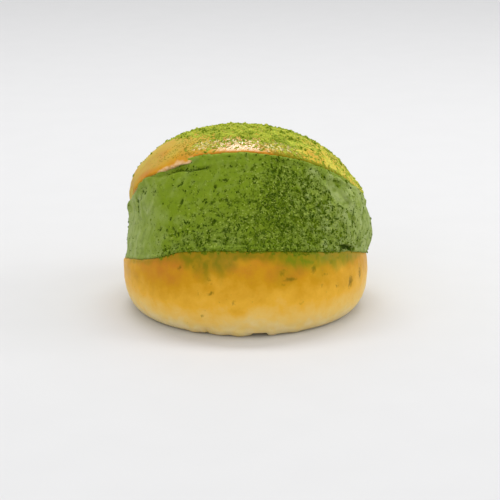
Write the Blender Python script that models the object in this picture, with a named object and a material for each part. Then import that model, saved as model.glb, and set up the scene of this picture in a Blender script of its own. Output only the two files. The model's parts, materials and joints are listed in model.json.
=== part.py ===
"""A round maritozzo: a soft bun cut from front to back, opened like a shell and filled with cream.

The bun is a turned shape. A slanting cut runs from high on its front down to a hinge of uncut
crumb near its low back, and the cap above the cut is turned back about that hinge. The cream
is one wedge between the two cut faces, smoothed off flush with the bun.

Metres, +Z up, the front towards -Y. The bun stands on z = 0, around the Z axis.
"""

from math import asin, atan2, cos, hypot, pi, radians, sin, tan

import bmesh
import bpy

# The bun before it is cut: a flat foot, a rounded lower edge and a dome.
BUN_RADIUS = 0.0433
FOOT_RADIUS = 0.0365
WIDEST_HEIGHT = 0.0130
DOME_RISE = 0.0355
DOME_SQUARENESS = 2.25
FOOT_SQUARENESS = 2.1
DOME_LEAN = 0.0016

# The cut rises from the hinge towards the front, less steeply on its left, where it dips.
HINGE_BACK = 0.0300
HINGE_HEIGHT = 0.0089
CUT_TILT = radians(17.3)
DIP_SLOPE = 0.056
DIP_START = 0.0205
DIP_WIDTH = 0.0120
# The slit that the knife leaves, and the length over which it narrows to the hinge.
CUT_WIDTH = 0.0003
CUT_POINT = 0.0060

# How far the cap is turned back, and how much more on its left than in its middle.
OPENING = radians(26.9)
OPENING_TWIST = radians(0.7)
# Behind the hinge the crumb squeezes together between these two directions from the cut.
SQUEEZE_FROM = radians(100)
SQUEEZE_TO = radians(216)

# The cream's clearance to the middle of the slit, and its thin end in front of the hinge.
CREAM_GAP = 0.0003 + CUT_WIDTH / 2
CREAM_TIP = 0.0035
# The cream lies a little inside the two rims, more on the left. Between the rims it stands
# out of the bun's outline on the right, and is scraped a little flat in the middle.
CREAM_INSET = 0.0003
CREAM_INSET_LEFT = 0.0010
BULGE_MIDDLE = -0.0008
BULGE_RIGHT = 0.0021
BULGE_LEFT = 0.0002
SIDE_FROM = 0.0220
SIDE_WIDTH = 0.0160

# How finely the shapes are divided.
TURNS = 88
FOOT_STEPS = 7
DOME_STEPS = 15
DIP_STRIPS = 8
KNIFE_STRIPS = 8
KNIFE_ROWS = 6
KNIFE_REACH = 0.0900
CREAM_STRIPS = 44
CREAM_ROWS = 4
CREAM_LAYERS = 12

CRUST_COLOUR = (0.62, 0.33, 0.08, 1.0)
CREAM_COLOUR = (0.19, 0.27, 0.03, 1.0)


def clamp(value):
    return max(0.0, min(1.0, value))


def smooth(value):
    """An S-shaped step from 0 to 1."""
    value = clamp(value)
    return value * value * (3 - 2 * value)


def bun_radius(height):
    """The uncut bun's radius at a height: a superellipse above its widest place and below."""
    if height >= WIDEST_HEIGHT:
        rise = clamp((height - WIDEST_HEIGHT) / DOME_RISE)
        return BUN_RADIUS * (1 - rise**DOME_SQUARENESS) ** (1 / DOME_SQUARENESS)
    drop = clamp((WIDEST_HEIGHT - height) / WIDEST_HEIGHT)
    edge = (1 - drop**FOOT_SQUARENESS) ** (1 / FOOT_SQUARENESS)
    return FOOT_RADIUS + (BUN_RADIUS - FOOT_RADIUS) * edge


def lean_at(height):
    """How far the dome's middle lies to the left at a height."""
    return -DOME_LEAN * clamp((height - WIDEST_HEIGHT) / DOME_RISE)


def forward_of(y):
    """Distance in front of the hinge."""
    return HINGE_BACK - y


def cut_height(x, y):
    """The cut's height: straight lines up from the hinge, less steep on the left."""
    slope = tan(CUT_TILT) - DIP_SLOPE * smooth((-x - DIP_START) / DIP_WIDTH)
    return HINGE_HEIGHT + forward_of(y) * slope


def opening_at(x):
    return OPENING - OPENING_TWIST * x / BUN_RADIUS


def in_bun(x, y, height):
    if not 0 < height < WIDEST_HEIGHT + DOME_RISE:
        return False
    return hypot(x - lean_at(height), y) < bun_radius(height)


def new_object(name, mesh_builder):
    mesh = bpy.data.meshes.new(name)
    mesh_builder.to_mesh(mesh)
    mesh_builder.free()
    made = bpy.data.objects.new(name, mesh)
    bpy.context.scene.collection.objects.link(made)
    return made


def give_material(piece, name, colour, roughness):
    material = bpy.data.materials.new(name)
    material.use_nodes = True
    shader = material.node_tree.nodes["Principled BSDF"]
    shader.inputs["Base Color"].default_value = colour
    shader.inputs["Roughness"].default_value = roughness
    shader.inputs["Metallic"].default_value = 0.0
    piece.data.materials.append(material)


def turned_profile():
    """The bun's outline from the middle of its foot, round its side, to the top of the dome."""
    heights = [WIDEST_HEIGHT * (1 - cos(pi / 2 * step / FOOT_STEPS)) for step in range(FOOT_STEPS)]
    heights += [
        WIDEST_HEIGHT + DOME_RISE * sin(pi / 2 * step / DOME_STEPS) for step in range(DOME_STEPS)
    ]
    outline = [(0.0, 0.0), (FOOT_RADIUS / 2, 0.0)]
    outline += [(bun_radius(height), height) for height in heights]
    outline.append((0.0, WIDEST_HEIGHT + DOME_RISE))
    return outline


def uncut_bun():
    shape = bmesh.new()
    points = [shape.verts.new((radius, 0, height)) for radius, height in turned_profile()]
    edges = [shape.edges.new(pair) for pair in zip(points, points[1:])]
    bmesh.ops.spin(
        shape, geom=points + edges, cent=(0, 0, 0), axis=(0, 0, 1), angle=2 * pi, steps=TURNS
    )
    bmesh.ops.remove_doubles(shape, verts=shape.verts, dist=1e-6)
    bmesh.ops.recalc_face_normals(shape, faces=shape.faces)
    for point in shape.verts:
        point.co.x += lean_at(point.co.z)
    return new_object("bun", shape)


def knife_lines():
    """Where the knife's surface is divided: across, close together at the dip, and lengthwise."""
    level = BUN_RADIUS + DIP_START
    across = [-KNIFE_REACH]
    across += [-DIP_START - DIP_WIDTH * (1 - step / DIP_STRIPS) for step in range(DIP_STRIPS)]
    across += [-DIP_START + level * step / KNIFE_STRIPS for step in range(KNIFE_STRIPS)]
    across.append(KNIFE_REACH)
    ahead = KNIFE_REACH - CUT_POINT
    along = [0.0] + [CUT_POINT + ahead * step / KNIFE_ROWS for step in range(KNIFE_ROWS + 1)]
    return across, along


def knife():
    """A thin wedge with its sharp edge on the hinge, which leaves the slit of the cut."""
    across, along = knife_lines()
    shape = bmesh.new()
    edge = [shape.verts.new((x, HINGE_BACK, HINGE_HEIGHT)) for x in across]
    sheets = []
    for side in (1, -1):
        rows = [edge]
        for forward in along[1:]:
            y = HINGE_BACK - forward
            lift = side * CUT_WIDTH / 2 * clamp(forward / CUT_POINT)
            rows.append([shape.verts.new((x, y, cut_height(x, y) + lift)) for x in across])
        sheets.append(rows)
        for row, ahead in zip(rows, rows[1:]):
            for place in range(len(across) - 1):
                shape.faces.new((row[place], row[place + 1], ahead[place + 1], ahead[place]))
    upper, lower = sheets
    for place in range(len(across) - 1):
        front = (upper[-1][place], upper[-1][place + 1], lower[-1][place + 1], lower[-1][place])
        shape.faces.new(front)
    for end in (0, -1):
        shape.faces.new([row[end] for row in upper] + [row[end] for row in reversed(lower[1:])])
    bmesh.ops.recalc_face_normals(shape, faces=shape.faces)
    cutter = new_object("knife", shape)
    cutter.hide_render = True
    cutter.display_type = "WIRE"
    return cutter


def cut_open(bun, cutter):
    cut = bun.modifiers.new("Cut", "BOOLEAN")
    cut.operation = "DIFFERENCE"
    cut.solver = "EXACT"
    cut.object = cutter
    bpy.context.view_layer.objects.active = bun
    bpy.ops.object.modifier_apply(modifier=cut.name)
    bpy.data.objects.remove(cutter)


def turned_back(x, y, z):
    """Where a point of the shut bun goes when the cap is turned back about the hinge."""
    forward, above = forward_of(y), z - HINGE_HEIGHT
    reach = hypot(forward, above)
    direction = atan2(above, forward) % (2 * pi)
    if forward > 0:
        share = 1.0 if z > cut_height(x, y) else 0.0
    else:
        share = smooth((SQUEEZE_TO + CUT_TILT - direction) / (SQUEEZE_TO - SQUEEZE_FROM))
    direction += share * opening_at(x)
    return x, HINGE_BACK - reach * cos(direction), HINGE_HEIGHT + reach * sin(direction)


def make_bun():
    bun = uncut_bun()
    cut_open(bun, knife())
    shape = bmesh.new()
    shape.from_mesh(bun.data)
    for point in shape.verts:
        point.co = turned_back(*point.co)
    bmesh.ops.triangulate(shape, faces=shape.faces)
    bmesh.ops.recalc_face_normals(shape, faces=shape.faces)
    shape.to_mesh(bun.data)
    shape.free()
    bun.data.shade_smooth()
    bun.data.set_sharp_from_angle(angle=radians(40))
    give_material(bun, "crust", CRUST_COLOUR, 0.5)


def outline_edge(x, start, direction):
    """The y where the cut's surface leaves the shut bun, from a start inside it."""
    near, far = 0.0, 2 * BUN_RADIUS
    for _ in range(40):
        middle = (near + far) / 2
        y = start + direction * middle
        if in_bun(x, y, cut_height(x, y)):
            near = middle
        else:
            far = middle
    return start + direction * near


def outline_end(side):
    """(x, y) of the cut outline's outermost point on one side."""
    near, far, start = 0.0, BUN_RADIUS, 0.0
    for _ in range(40):
        middle = (near + far) / 2
        x = side * middle
        if in_bun(x, start, cut_height(x, start)):
            near = middle
            start = (outline_edge(x, start, 1) + outline_edge(x, start, -1)) / 2
        else:
            far = middle
    return side * near, start


def cream_outline():
    """The cut's outline as (x, front y, back y), left to right, ending at the cream's thin end."""
    (left, left_y), (right, right_y) = outline_end(-1), outline_end(1)
    behind = HINGE_BACK - CREAM_TIP
    outline = [(left, left_y, left_y)]
    for strip in range(1, CREAM_STRIPS):
        turn = pi * strip / CREAM_STRIPS
        x = (left + right) / 2 - (right - left) / 2 * cos(turn)
        start = left_y if x < 0 else right_y
        back = min(outline_edge(x, start, 1), behind)
        outline.append((x, outline_edge(x, start, -1), back))
    outline.append((right, right_y, right_y))
    return outline


def standing_out(x, layer_share):
    """How far the cream stands out of the bun's outline, between the lower rim and the upper."""
    right = smooth((x - SIDE_FROM) / SIDE_WIDTH)
    left = smooth((-x - SIDE_FROM) / SIDE_WIDTH)
    bulge = BULGE_MIDDLE + (BULGE_RIGHT - BULGE_MIDDLE) * right + (BULGE_LEFT - BULGE_MIDDLE) * left
    inset = CREAM_INSET + (CREAM_INSET_LEFT - CREAM_INSET) * left
    return bulge * 4 * layer_share * (1 - layer_share) - inset


def cream_point(x, y, layer_share, depth):
    """A point of the cream: on the cut's surface, pushed out at its edge, turned about the hinge."""
    if depth in (0, 1) and forward_of(y) > CREAM_TIP + CREAM_GAP:
        push = standing_out(x, layer_share) / hypot(x, y)
        x, y = x * (1 + push), y * (1 + push)
    forward, above = forward_of(y), cut_height(x, y) - HINGE_HEIGHT
    reach = hypot(forward, above)
    clearance = asin(CREAM_GAP / reach)
    direction = atan2(above, forward) + clearance
    direction += layer_share * (opening_at(x) - 2 * clearance)
    return x, HINGE_BACK - reach * cos(direction), HINGE_HEIGHT + reach * sin(direction)


def join_rows(shape, row, next_row):
    """Fills the strip between two rows of points, which may share their ends."""
    for place in range(len(row) - 1):
        corners = (row[place], row[place + 1], next_row[place + 1], next_row[place])
        shape.faces.new(list(dict.fromkeys(corners)))


def cream_row(shape, outline, share, depth, ends):
    """A row of points across the cream, at its front edge (depth 0), its back (1) or between."""
    places = [(x, near + (far - near) * depth) for x, near, far in outline[1:-1]]
    inner = [shape.verts.new(cream_point(x, y, share, depth)) for x, y in places]
    return [ends[0], *inner, ends[1]]


def make_cream():
    outline = cream_outline()
    shape = bmesh.new()
    fronts, backs = [], []
    for layer in range(CREAM_LAYERS + 1):
        share = layer / CREAM_LAYERS
        tips = (outline[0], outline[-1])
        ends = [shape.verts.new(cream_point(x, y, share, 0)) for x, y, _ in tips]
        fronts.append(cream_row(shape, outline, share, 0, ends))
        backs.append(cream_row(shape, outline, share, 1, ends))
    for edge in (fronts, backs):
        for row, next_row in zip(edge, edge[1:]):
            join_rows(shape, row, next_row)
    depths = [row / CREAM_ROWS for row in range(1, CREAM_ROWS)]
    for share, front, back in ((0, fronts[0], backs[0]), (1, fronts[-1], backs[-1])):
        ends = (front[0], front[-1])
        between = [cream_row(shape, outline, share, depth, ends) for depth in depths]
        rows = [front, *between, back]
        for row, next_row in zip(rows, rows[1:]):
            join_rows(shape, row, next_row)
    bmesh.ops.triangulate(shape, faces=shape.faces)
    bmesh.ops.recalc_face_normals(shape, faces=shape.faces)
    cream = new_object("cream", shape)
    cream.data.shade_smooth()
    cream.data.set_sharp_from_angle(angle=radians(40))
    give_material(cream, "cream", CREAM_COLOUR, 0.6)


def main():
    for item in list(bpy.data.objects):
        bpy.data.objects.remove(item)
    make_bun()
    make_cream()


main()
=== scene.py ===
"""The looks of a round maritozzo: baked crust, smoothed tea cream and loose tea powder.

The bun stands on z = 0, with its open front to -Y. Lengths are in mm, apart from the settings of the
add-on and what is handed to Blender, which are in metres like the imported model.
"""

import json
from math import cos, pi, radians, sin, tan

import bpy
import numpy as np
from bpy.props import FloatProperty, FloatVectorProperty, IntProperty, PointerProperty
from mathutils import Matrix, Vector, noise

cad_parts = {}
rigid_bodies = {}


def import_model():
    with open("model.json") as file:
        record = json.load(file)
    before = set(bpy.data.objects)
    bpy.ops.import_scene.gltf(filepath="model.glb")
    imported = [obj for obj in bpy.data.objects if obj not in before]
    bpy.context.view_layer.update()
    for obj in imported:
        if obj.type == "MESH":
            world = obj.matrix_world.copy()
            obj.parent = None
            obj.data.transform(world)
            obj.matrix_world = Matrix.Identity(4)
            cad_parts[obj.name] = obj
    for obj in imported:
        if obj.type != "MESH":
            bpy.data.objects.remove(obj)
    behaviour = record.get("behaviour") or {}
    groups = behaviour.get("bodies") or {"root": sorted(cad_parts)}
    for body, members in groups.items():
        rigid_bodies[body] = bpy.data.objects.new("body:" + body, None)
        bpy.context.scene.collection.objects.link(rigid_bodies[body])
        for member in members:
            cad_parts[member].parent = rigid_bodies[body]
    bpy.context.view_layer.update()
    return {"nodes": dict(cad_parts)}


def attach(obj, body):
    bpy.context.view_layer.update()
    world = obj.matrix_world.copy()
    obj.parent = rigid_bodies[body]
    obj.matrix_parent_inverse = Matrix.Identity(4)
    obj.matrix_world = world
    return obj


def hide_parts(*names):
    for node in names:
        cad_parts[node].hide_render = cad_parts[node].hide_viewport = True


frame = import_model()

bl_info = {
    "name": "Maritozzo",
    "version": (1, 0, 0),
    "blender": (4, 5, 0),
    "location": "View3D > Sidebar > Maritozzo",
    "description": "Makes a cream-filled bun with its crust, cream and tea powder",
    "category": "Add Mesh",
}

MM = 0.001

# The bun before it is cut, as in the part's source.
BUN_RADIUS = 43.3
FOOT_RADIUS = 36.5
WIDEST_HEIGHT = 13.0
DOME_RISE = 35.5
DOME_SQUARENESS = 2.25
FOOT_SQUARENESS = 2.1
DOME_LEAN = 1.6
# The cut, and how the cap is turned back about the hinge.
HINGE_BACK = 30.0
HINGE_HEIGHT = 8.9
CUT_TILT = radians(17.3)
DIP_SLOPE = 0.056
DIP_START = 20.5
DIP_WIDTH = 12.0
OPENING = radians(26.9)
OPENING_TWIST = radians(0.7)
SQUEEZE_FROM = radians(100)
SQUEEZE_TO = radians(216)
SQUEEZE_TRIES = 12

BODY = "root"


# -------------------- sizes and colours


def length(name, description, default):
    return FloatProperty(
        name=name, description=description, default=default, min=0.0, unit="LENGTH", precision=5
    )


def colour(name, description, default):
    return FloatVectorProperty(
        name=name, description=description, default=default, min=0.0, max=1.0, subtype="COLOR"
    )


def count(name, description, default):
    return IntProperty(name=name, description=description, default=default, min=0)


def power(name, description, default):
    return FloatProperty(name=name, description=description, default=default, unit="POWER")


class MaritozzoCrust(bpy.types.PropertyGroup):
    """Sizes and colours of the baked bun."""

    detail: length("Detail", "Edge length of the bun's mesh", 0.00056)
    skin: length("Crust thickness", "Depth at which a cut shows crumb", 0.0005)
    swell: length("Unevenness", "Height of the broad swellings of the crust", 0.0007)
    wrinkle: length("Wrinkles", "Height of the fine wrinkles of the crust", 0.00010)
    powder_cake: length("Powder layer", "Height of the lumpy powder layer on the cap", 0.00060)
    foot: colour("Foot", "Crust where the bun stood on its tray", (0.72, 0.56, 0.21))
    pale: colour("Pale", "Crust just above the foot", (0.80, 0.53, 0.13))
    gold: colour("Gold", "Crust halfway up the base", (0.77, 0.42, 0.035))
    amber: colour("Amber", "Crust near the cut", (0.60, 0.30, 0.006))
    brown: colour("Brown", "The most browned crust", (0.53, 0.205, 0.012))
    crumb: colour("Crumb", "Cut crumb under the crust", (0.66, 0.36, 0.13))


class MaritozzoCream(bpy.types.PropertyGroup):
    """Sizes and colours of the cream."""

    detail: length("Detail", "Edge length of the cream's mesh", 0.00040)
    press: length("Press", "How far the cream is pressed into the crumb", 0.0009)
    grain: length("Grain", "Height of the fine grain", 0.00010)
    wave: length("Waves", "Height of the broad waves", 0.0005)
    streak: length("Streaks", "Height of the spatula's streaks", 0.00015)
    middle: colour("Middle", "Cream in the middle of the front", (0.17, 0.255, 0.006))
    # The side colour is partly the cream's own paler tone, partly painted sheen where light grazes the
    # sides.
    side: colour("Side", "Cream that the spatula drew out pale at the sides", (0.285, 0.362, 0.093))
    lip: colour("Lip", "Fresh cream under the cap's edge", (0.20, 0.30, 0.012))
    film: colour("Film", "Cream darkened by moist powder", (0.085, 0.140, 0.002))


class MaritozzoPowder(bpy.types.PropertyGroup):
    """Amounts, sizes and colours of the tea powder."""

    cap_grains: count("Cap grains", "Fine grains on the cap", 9700)
    cap_lumps: count("Cap lumps", "Powder lumps on the cap", 2300)
    cream_grains: count("Cream grains", "Fine grains on the cream", 9700)
    cream_lumps: count("Cream lumps", "Powder lumps on the cream", 1200)
    base_grains: count("Base grains", "Fine grains on the base", 1300)
    grain_size: length("Grain", "Width of a middling fine grain", 0.00034)
    lump_size: length("Lump", "Width of a middling powder lump", 0.00066)
    dry_dark: colour("Dry dark", "Darkest dry powder", (0.13, 0.20, 0.004))
    dry_light: colour("Dry light", "Lightest dry powder", (0.52, 0.57, 0.060))
    fallen_light: colour("Fallen light", "Lightest powder on the base", (0.27, 0.31, 0.015))
    moist_dark: colour("Moist dark", "Darkest moist powder", (0.036, 0.075, 0.0005))
    moist_light: colour("Moist light", "Lightest moist powder", (0.12, 0.19, 0.004))


class MaritozzoStage(bpy.types.PropertyGroup):
    """The floor and the light."""

    floor_radius: length("Floor", "Radius of the floor", 4.0)
    floor: colour("Floor colour", "Colour of the floor", (0.692, 0.692, 0.692))
    sky: colour("Surroundings", "Colour of the light from all sides", (0.78, 0.78, 0.79))
    key_power: power("Key", "Lamp above and behind", 4.0)
    side_power: power("Side", "Lamp on the right", 1.9)
    fill_power: power("Fill", "Lamp in front", 2.0)


GROUPS = {
    "maritozzo_crust": MaritozzoCrust,
    "maritozzo_cream": MaritozzoCream,
    "maritozzo_powder": MaritozzoPowder,
    "maritozzo_stage": MaritozzoStage,
}


# -------------------- steps and noise


def smooth(value):
    """An S-shaped step from 0 to 1."""
    value = np.clip(value, 0.0, 1.0)
    return value * value * (3 - 2 * value)


def rise(value, start, width):
    """0 up to the start, 1 from that width on."""
    return smooth((value - start) / width)


def fall(value, end, width):
    """1 up to that width before the end, 0 from the end on."""
    return smooth((end - value) / width)


def hump(value):
    """1 at 0, falling smoothly to 0 at -1 and 1."""
    return smooth(1 - np.abs(value))


def bulge(value, middle, half):
    """1 at the middle, falling smoothly to 0 at that distance on both sides."""
    return hump((value - middle) / half)


def between(value, low, high, edge):
    """1 from low to high, falling to 0 over the edge outside them."""
    return smooth((value - low) / edge + 1) * smooth((high - value) / edge + 1)


def mark(across, up, half_width, half_height, lean):
    """1 in the middle of a leaning oval, falling to 0 a little outside it."""
    turn = radians(lean)
    along = up * cos(turn) + across * sin(turn)
    aside = across * cos(turn) - up * sin(turn)
    return hump(np.hypot(aside / half_width, along / half_height) / 1.6)


def mottle(points, size, seed):
    """Smooth noise from -1 to 1 with swellings of that size."""
    shift = Vector((17.3, 5.9, 11.1)) * (seed + 1)
    return np.array([noise.noise(Vector(point) + shift) for point in points / size])


def spread_of(points, size, seed):
    """Noise with patches of that size, evened out so that all values from 0 to 1 are as common."""
    level = mottle(points, size, seed) + 0.5 * mottle(points, size * 0.45, seed + 1)
    even = np.empty(len(level))
    even[np.argsort(level, kind="stable")] = np.linspace(0, 1, len(level))
    return even


def most(*levels):
    """The largest of the levels at each point."""
    return np.maximum.reduce(levels)


def patches_of(amount, even):
    """Ragged patches that cover that part of a surface, where even is evened-out noise."""
    return smooth((even - 1 + amount) / (0.08 + 0.25 * amount)) * (amount > 0)


# -------------------- working on a mesh

# Points with less weight are left where they are.
LEAST_WEIGHT = 0.004


def pick_only(piece):
    bpy.ops.object.select_all(action="DESELECT")
    piece.select_set(True)
    bpy.context.view_layer.objects.active = piece


def read(items, what, kind=np.float32):
    """One number of every item, such as the area of every face."""
    numbers = np.empty(len(items), kind)
    items.foreach_get(what, numbers)
    return numbers


def read_vectors(items, what):
    """Three numbers of every item, such as the place of every point."""
    flat = np.empty(len(items) * 3)
    items.foreach_get(what, flat)
    return flat.reshape(-1, 3)


def points_of(piece):
    return read_vectors(piece.data.vertices, "co") / MM


def modify(piece, kind, weights=None, **settings):
    """Applies a modifier, with its settings and its weight at each point."""
    pick_only(piece)
    modifier = piece.modifiers.new(kind, kind)
    for setting, value in settings.items():
        setattr(modifier, setting, value)
    if weights is not None:
        group = piece.vertex_groups.new(name="weights")
        for index in np.flatnonzero(weights > LEAST_WEIGHT):
            group.add([int(index)], float(weights[index]), "REPLACE")
        modifier.vertex_group = group.name
    bpy.ops.object.modifier_apply(modifier=modifier.name)
    piece.vertex_groups.clear()


def cloud_of(size, depth=2, basis="ORIGINAL_PERLIN"):
    cloud = bpy.data.textures.new("cloud", "CLOUDS")
    cloud.noise_scale = size * MM
    cloud.noise_depth = depth
    cloud.noise_basis = basis
    return cloud


def push(piece, height, weights, direction="NORMAL", cloud=None):
    """Moves points by a height times their weight, up and down by noise where a cloud is given."""
    settings = {"strength": height * MM, "direction": direction, "mid_level": 0.0}
    if cloud is not None:
        settings.update(texture=cloud_of(*cloud), texture_coords="LOCAL", mid_level=0.5)
    modify(piece, "DISPLACE", weights, **settings)


def soften(piece, weights, rounds):
    """Smooths the points by their weight."""
    modify(piece, "SMOOTH", weights, factor=0.5, iterations=rounds)


def fine_copy(node_name, name, edge, part_kept):
    """A new piece like a CAD node, of small even faces, which are joined where they are hidden."""
    piece = bpy.data.objects.new(name, frame["nodes"][node_name].data.copy())
    piece.data.name = name
    piece.data.materials.clear()
    bpy.context.scene.collection.objects.link(piece)
    pick_only(piece)
    bpy.ops.object.mode_set(mode="EDIT")
    bpy.ops.mesh.select_all(action="SELECT")
    bpy.ops.mesh.remove_doubles(threshold=1e-6)
    bpy.ops.mesh.normals_make_consistent(inside=False)
    bpy.ops.object.mode_set(mode="OBJECT")
    modify(piece, "REMESH", mode="VOXEL", voxel_size=edge, use_smooth_shade=True)
    modify(piece, "SMOOTH", factor=0.5, iterations=3)
    modify(piece, "DECIMATE", Place(piece).hidden(), ratio=part_kept)
    return piece


def store(piece, levels):
    """Keeps numbers for every point by name, for materials and for the powder."""
    for name, values in levels.items():
        attribute = piece.data.attributes.new(name, "FLOAT", "POINT")
        attribute.data.foreach_set("value", np.clip(values, 0, 1).astype(np.float32))


def values_of(piece, name):
    return read(piece.data.attributes[name].data, "value")


def finish_piece(piece, look, nodes=()):
    piece.data.materials.clear()
    piece.data.materials.append(look.material)
    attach(piece, BODY)
    if nodes:
        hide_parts(*nodes)


# Points are hidden this close to a cut face, apart from a rim of this width, which is seen.
HIDDEN_OFF_CUT = 0.8
SEEN_RIM = 4.5
# They are hidden under the foot too, this low and within this radius.
HIDDEN_HEIGHT = 0.2
HIDDEN_RADIUS = 32


class Place:
    """Where a piece's points lie, between the bun's cut faces and in the bun while shut.

    The share runs from 0 at the lower cut face to 1 at the upper one, and the gap is how far they stand
    apart there. Over_cut is the height over the upper one, and under_cut the depth under the lower one.
    """

    def __init__(self, piece):
        self.points = points_of(piece)
        self.x, self.y, self.z = self.points.T
        forward = HINGE_BACK - self.y
        above = self.z - HINGE_HEIGHT
        direction = np.arctan2(above, forward)
        direction = np.where(direction < -pi / 2, direction + 2 * pi, direction)
        low = np.arctan(tan(CUT_TILT) - DIP_SLOPE * fall(self.x, -DIP_START, DIP_WIDTH))
        opening = OPENING - OPENING_TWIST * self.x / BUN_RADIUS
        self.reach = np.hypot(forward, above)
        self.gap = self.reach * OPENING
        self.share = (direction - low) / opening
        self.over_cut = self.reach * np.sin(direction - low - opening)
        self.under_cut = self.reach * np.sin(low - direction)
        self.off_cut = np.minimum(np.abs(self.over_cut), np.abs(self.under_cut))
        self.round = np.degrees(np.arctan2(self.x, self.reach * cos(CUT_TILT) - HINGE_BACK))
        self.on_cap = self.share > 0.5
        shut = np.where(self.on_cap, direction - opening, direction)
        for _ in range(SQUEEZE_TRIES):
            squeeze = fall(shut, SQUEEZE_TO + CUT_TILT, SQUEEZE_TO - SQUEEZE_FROM)
            shut = np.where(self.on_cap, direction - squeeze * opening, shut)
        self.shut_y = HINGE_BACK - self.reach * np.cos(shut)
        self.shut_z = HINGE_HEIGHT + self.reach * np.sin(shut)

    def hidden(self):
        """Which points lie on a cut face well inside the slit, or under the foot."""
        from_axis = np.hypot(self.x, HINGE_BACK - self.reach * cos(CUT_TILT))
        on_face = (self.off_cut < HIDDEN_OFF_CUT) & (from_axis < BUN_RADIUS - SEEN_RIM)
        underneath = (self.z < HIDDEN_HEIGHT) & (np.hypot(self.x, self.y) < HIDDEN_RADIUS)
        return (on_face & (self.y < HINGE_BACK)) | underneath

    def away(self, middle):
        """Distance from a place."""
        return np.linalg.norm(self.points - middle, axis=1)

    def depth(self):
        """How deep the points lie under the skin of the shut bun."""
        dome_height = np.clip(self.shut_z - WIDEST_HEIGHT, 0, DOME_RISE)
        across = np.hypot(self.x + DOME_LEAN * dome_height / DOME_RISE, self.shut_y)
        powers = (across / BUN_RADIUS) ** DOME_SQUARENESS + (dome_height / DOME_RISE) ** DOME_SQUARENESS
        size = np.maximum(powers ** (1 / DOME_SQUARENESS), 0.1)
        in_dome = (1 - size) * np.hypot(across, dome_height) / size
        drop = np.clip((WIDEST_HEIGHT - self.shut_z) / WIDEST_HEIGHT, 0, 1)
        edge = (1 - drop**FOOT_SQUARENESS) ** (1 / FOOT_SQUARENESS)
        in_foot = FOOT_RADIUS + (BUN_RADIUS - FOOT_RADIUS) * edge - across
        return np.where(self.shut_z > WIDEST_HEIGHT, in_dome, in_foot)


# -------------------- working on a material


class Value:
    """An output of a node, to be reckoned with by further nodes."""

    def __init__(self, tree, socket):
        self.tree = tree
        self.socket = socket

    def __add__(self, other):
        return reckon(self.tree, "ADD", self, other)

    def __sub__(self, other):
        return reckon(self.tree, "SUBTRACT", self, other)

    def __rsub__(self, other):
        return reckon(self.tree, "SUBTRACT", other, self)

    def __mul__(self, other):
        return reckon(self.tree, "MULTIPLY", self, other)

    def __pow__(self, other):
        return reckon(self.tree, "POWER", self, other)

    def __or__(self, other):
        """The larger of the two."""
        return reckon(self.tree, "MAXIMUM", self, other)

    def clamped(self):
        return add(self.tree, "ShaderNodeClamp", {0: self})

    def step(self, low, high, to_low=0.0, to_high=1.0):
        """Maps low to high smoothly onto to_low to to_high."""
        inputs = {"Value": self, 1: low, 2: high, 3: to_low, 4: to_high}
        return add(self.tree, "ShaderNodeMapRange", inputs, interpolation_type="SMOOTHSTEP")

    def shade(self, first, second):
        """The first colour where this value is 0, the second where it is 1."""
        first, second = (part if isinstance(part, Value) else (*part, 1) for part in (first, second))
        return add(self.tree, "ShaderNodeMix", {0: self, 6: first, 7: second}, 2, data_type="RGBA")

    def ramp(self, stops):
        """A colour that runs through the stops, each a position and a colour."""
        shade = add(self.tree, "ShaderNodeValToRGB", {"Fac": self})
        elements = shade.socket.node.color_ramp.elements
        while len(elements) < len(stops):
            elements.new(0.5)
        for element, (position, stop) in zip(elements, stops):
            element.position = position
            element.color = (*stop, 1)
        return shade


def add(tree, kind, inputs=None, output=0, **settings):
    """Adds a node with its settings and inputs, and gives one of its outputs."""
    node = tree.nodes.new(kind)
    for setting, value in settings.items():
        setattr(node, setting, value)
    for socket, value in (inputs or {}).items():
        if isinstance(value, Value):
            tree.links.new(value.socket, node.inputs[socket])
        else:
            node.inputs[socket].default_value = value
    return Value(tree, node.outputs[output]) if node.outputs else None


def reckon(tree, operation, first, second):
    return add(tree, "ShaderNodeMath", {0: first, 1: second}, operation=operation)


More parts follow.
